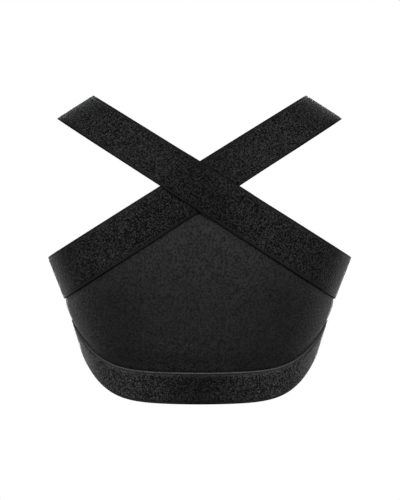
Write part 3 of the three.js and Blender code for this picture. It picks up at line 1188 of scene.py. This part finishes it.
class SewStitches(bpy.types.Operator):
    """Sew the straps, the welt of the band, the side seams and the closure"""

    bl_idname = "vest.sew_stitches"
    bl_label = "Stitches"
    bl_options = {"REGISTER", "UNDO"}

    def execute(self, context):
        if set(MADE) != set(frame["nodes"]):
            raise RuntimeError("make the cloth pieces before the stitches")
        sizes, finish = context.scene.vest_stitches, finish_of(context)
        black = material_named("black_sewing_thread", sewing_thread, *BLACK_THREAD)
        grey_shades = (finish.thread_dark, finish.thread_light)
        grey = material_named("grey_sewing_thread", sewing_thread, *grey_shades)
        under, over, band = MADE["cross_strap_under"], MADE["cross_strap_over"], MADE["hem_band"]
        side = 2 * TURN_STEPS
        strap_lines = [
            under.line(STITCH_INSET, "end", side),
            over.line(STITCH_INSET, "start", side),
            under.line(STITCH_INSET, "end", 0, TURN_STEPS // 2),
            over.line(STITCH_INSET, "start", 0, TURN_STEPS // 2),
        ]
        strap = {"Pitch": sizes.strap_pitch, "Length": sizes.strap_length, "Thread": sizes.thread}
        welt = {
            "Pitch": sizes.welt_pitch,
            "Length": sizes.welt_length,
            "Thread": sizes.thread * WELT_THREAD_SHARE,
            "Turn": WELT_TURN,
        }
        seam = {
            "Pitch": sizes.seam_pitch,
            "Length": SEAM_STITCH_LENGTH,
            "Thread": sizes.thread,
            "Turn": SEAM_TURN,
            "Zigzag": SEAM_ZIGZAG,
        }
        pieces = [
            sew("strap_stitches", strap_lines, black, Sink=STRAP_SINK, **strap),
            sew("welt_stitches", [band.line(WELT_INSET, "end")], grey, Sink=OTHER_SINK, **welt),
            sew("side_seam_stitches", self.seam_lines(), black, Sink=OTHER_SINK, **seam),
            sew("closure_stitches", self.closure_lines(), black, Sink=OTHER_SINK, **strap),
        ]
        for piece, slot in zip(pieces, ("elastic", "elastic", "knit", "tape")):
            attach(piece, BODY)
        return {"FINISHED"}

    def seam_lines(self):
        """The middle of each side seam, between the back panel and a front panel."""
        back = MADE["back_panel"]
        lines = []
        for edge, name, near in ((0, "front_panel_left", -1), (-1, "front_panel_right", 0)):
            front = MADE[name]
            rows = slice(len(UNDER_BAND_SHARES), -len(UNDER_STRAP_SHARES))
            points = (back.outer[edge, rows] + front.outer[near, rows]) / 2
            normals = back.normals[edge, rows]
            lines.append((points + normals * SEAM_RAISE, normals))
        return lines

    def closure_lines(self):
        """A rectangle of stitches inside the edge of the closure."""
        closure = MADE["front_closure"]
        column = np.argmin(np.abs(closure.along[:, 0] - CLOSURE_STITCH_INSET))
        row = np.argmin(np.abs(closure.across[0] - CLOSURE_STITCH_INSET))
        columns = slice(column, -column - 1)
        rows = slice(row, -row - 1)
        return [
            (closure.outer[column, rows], closure.normals[column, rows]),
            (closure.outer[-column - 1, rows], closure.normals[-column - 1, rows]),
            (closure.outer[columns, row], closure.normals[columns, row]),
            (closure.outer[columns, -row - 1], closure.normals[columns, -row - 1]),
        ]


class SetStage(bpy.types.Operator):
    """Set the floor, the soft lights, the backdrop and the camera"""

    bl_idname = "vest.set_stage"
    bl_label = "Stage"
    bl_options = {"REGISTER", "UNDO"}

    def execute(self, context):
        settings = context.scene.vest_stage
        self.lay_floor(settings)
        self.light_room(settings)
        self.softbox("key_light", KEY_PLACE, KEY_SIZE, settings.key_power)
        self.softbox("far_light", FAR_PLACE, FAR_SIZE, settings.far_power)
        pairs = (
            ("front_light_", FRONT_PLACE, settings.front_power),
            ("side_light_", SIDE_PLACE, settings.side_power),
        )
        for side, turn in (("left", -1), ("right", 1)):
            for name, (x, y, z), power in pairs:
                self.softbox(name + side, (turn * x, y, z), TALL_SIZE, power)
        self.place_camera(settings)
        context.scene.view_settings.view_transform = "Standard"
        context.scene.view_settings.look = "None"
        return {"FINISHED"}

    def lay_floor(self, settings):
        mesh = bpy.data.meshes.new("floor")
        radius, around, rings = 3.0, 96, 6
        points = [(0, 0, -settings.floor_drop)]
        faces = []
        for ring in range(1, rings + 1):
            for k in range(around):
                turn = FULL_TURN * k / around
                reach = radius * ring / rings
                points.append((reach * math.cos(turn), reach * math.sin(turn), -settings.floor_drop))
        for k in range(around):
            faces.append((0, 1 + k, 1 + (k + 1) % around))
            for ring in range(rings - 1):
                a = 1 + ring * around
                b = a + around
                faces.append((a + k, b + k, b + (k + 1) % around, a + (k + 1) % around))
        mesh.from_pydata(points, [], faces)
        mesh.shade_smooth()
        mesh.materials.append(material_named("pale_studio_floor", studio_paper, settings))
        floor = placed("floor", mesh)
        floor.visible_diffuse = False
        floor.visible_glossy = False

    def light_room(self, settings):
        """The camera sees a white backdrop. The room is dim behind the camera and bright beyond the part."""
        world = bpy.data.worlds.new("white_studio")
        bpy.context.scene.world = world
        bench = Bench.of(world)
        towards = bench.node("ShaderNodeTexCoord", {}, {}).out("Generated")
        parts = bench.node("ShaderNodeSeparateXYZ", {}, {"Vector": towards})
        beyond = bench.ramp(parts.out("Y"), *BEYOND)
        below_ceiling = 1 - bench.ramp(parts.out("Z"), *CEILING)
        added = settings.backdrop_light - settings.room_light
        strength = settings.room_light + added * beyond * below_ceiling
        light = bench.node("ShaderNodeBackground", {}, {"Color": WHITE, "Strength": strength}).out(0)
        seen = bench.node("ShaderNodeBackground", {}, {"Color": WHITE, "Strength": 1.0}).out(0)
        by_camera = bench.node("ShaderNodeLightPath", {}, {}).out("Is Camera Ray")
        sky = bench.node("ShaderNodeMixShader", {}, {0: by_camera, 1: light, 2: seen}).out(0)
        bench.node("ShaderNodeOutputWorld", {}, {"Surface": sky})

    def softbox(self, name, place, size, power):
        light = bpy.data.lights.new(name, "AREA")
        light.shape = "RECTANGLE"
        light.size, light.size_y = size
        light.energy = power
        lamp = placed(name, light)
        lamp.location = place
        aim = Vector((0, 0, LIT_LEVEL)) - Vector(place)
        lamp.rotation_euler = aim.to_track_quat("-Z", "Y").to_euler()
        lamp.visible_camera = False

    def place_camera(self, settings):
        camera = bpy.data.cameras.new("camera")
        camera.sensor_width = 36
        camera.lens = camera.sensor_width * settings.camera_distance / settings.view_height
        camera.clip_end = 100
        seat = placed("camera", camera)
        seat.location = (VIEW_SIDEWAYS, -settings.camera_distance, VIEW_LEVEL)
        seat.rotation_euler = (math.radians(90), 0, 0)
        bpy.context.scene.camera = seat


class VestPanel(bpy.types.Panel):
    """Lists the pieces and their settings"""

    bl_idname = "VIEW3D_PT_posture_corrector"
    bl_label = "Posture corrector"
    bl_space_type = "VIEW_3D"
    bl_region_type = "UI"
    bl_category = "Posture corrector"

    def draw(self, context):
        layout = self.layout
        layout.use_property_split = True
        for operator in STEPS:
            layout.operator(operator.bl_idname)
        for name in GROUPS:
            group = getattr(context.scene, name)
            box = layout.box()
            for key in group.bl_rna.properties.keys():
                if key not in ("rna_type", "name"):
                    box.prop(group, key)


STEPS = (MakeStraps, MakePanels, MakeHemBand, MakeFrontClosure, SewStitches, SetStage)
GROUPS = {
    "vest_cloth": ClothSizes,
    "vest_stitches": StitchSizes,
    "vest_finish": ClothFinish,
    "vest_stage": StageSettings,
}


def register():
    for kind in (*GROUPS.values(), *STEPS, VestPanel):
        bpy.utils.register_class(kind)
    for name, kind in GROUPS.items():
        setattr(bpy.types.Scene, name, PointerProperty(type=kind))


def unregister():
    for name in GROUPS:
        delattr(bpy.types.Scene, name)
    for kind in reversed((*GROUPS.values(), *STEPS, VestPanel)):
        bpy.utils.unregister_class(kind)


def main():
    register()
    bpy.ops.vest.make_straps()
    bpy.ops.vest.make_panels()
    bpy.ops.vest.make_hem_band()
    bpy.ops.vest.make_front_closure()
    bpy.ops.vest.sew_stitches()
    bpy.ops.vest.set_stage()


if __name__ == "__main__":
    main()
